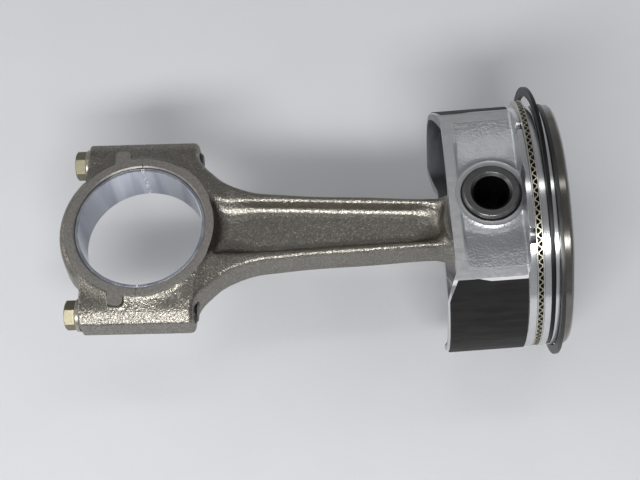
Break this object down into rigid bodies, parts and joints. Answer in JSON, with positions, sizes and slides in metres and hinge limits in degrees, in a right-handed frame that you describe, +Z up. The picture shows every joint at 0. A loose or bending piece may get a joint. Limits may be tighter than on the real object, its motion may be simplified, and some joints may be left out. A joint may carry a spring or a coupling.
{
  "type": "engine piston and connecting rod",
  "caption": "Engine piston with rings, pressed wrist pin and I-beam connecting rod; its split big end holds bearing shells and cap bolts.",
  "frame": {"origin": "middle of the flat crown face, on the piston's axis", "axes": "+X along the piston's axis from the crankpin towards the crown, +Z up along the wrist pin, +Y across, at right angles to both"},
  "size_m": [0.2146, 0.1159, 0.1109],
  "materials": {
    "piston_aluminium": "cast and turned, satin, with a charcoal skirt coating",
    "ring_iron": "dark, ground on the faces",
    "rail_steel": "bright spring steel",
    "expander_steel": "straw-tinted spring strip",
    "pin_steel": "dark, ground and polished",
    "rod_steel": "forged and shot-blasted, with ground side faces",
    "bearing_metal": "bright plated bearing lining",
    "bolt_steel": "olive zinc-phosphate, bright washer face"
  },
  "bodies": {
    "piston": {"piston": "piston_aluminium"},
    "rod": {"connecting_rod": "rod_steel", "rod_cap": "rod_steel", "bearing_shell_rod": "bearing_metal", "bearing_shell_cap": "bearing_metal", "cap_bolt_upper": "bolt_steel", "cap_bolt_lower": "bolt_steel", "wrist_pin": "pin_steel"},
    "top_ring": {"top_ring": "ring_iron"},
    "second_ring": {"second_ring": "ring_iron"},
    "oil_rail_upper": {"oil_rail_upper": "rail_steel"},
    "oil_rail_lower": {"oil_rail_lower": "rail_steel"},
    "oil_expander": {"oil_expander": "expander_steel"}
  },
  "joints": [
    {"name": "rod_swing", "type": "hinge", "parent": "piston", "child": "rod", "pos_m": [-0.0295, 0, 0], "axis": [0, 0, 1], "range_deg": [-44.8, 51.2]},
    {"name": "top_ring_turn", "type": "hinge", "parent": "piston", "child": "top_ring", "pos_m": [0, 0, 0], "axis": [1, 0, 0], "continuous": true},
    {"name": "second_ring_turn", "type": "hinge", "parent": "piston", "child": "second_ring", "pos_m": [0, 0, 0], "axis": [1, 0, 0], "continuous": true},
    {"name": "oil_rail_upper_turn", "type": "hinge", "parent": "piston", "child": "oil_rail_upper", "pos_m": [0, 0, 0], "axis": [1, 0, 0], "continuous": true},
    {"name": "oil_rail_lower_turn", "type": "hinge", "parent": "piston", "child": "oil_rail_lower", "pos_m": [0, 0, 0], "axis": [1, 0, 0], "continuous": true},
    {"name": "oil_expander_turn", "type": "hinge", "parent": "piston", "child": "oil_expander", "pos_m": [0, 0, 0], "axis": [1, 0, 0], "continuous": true}
  ]
}
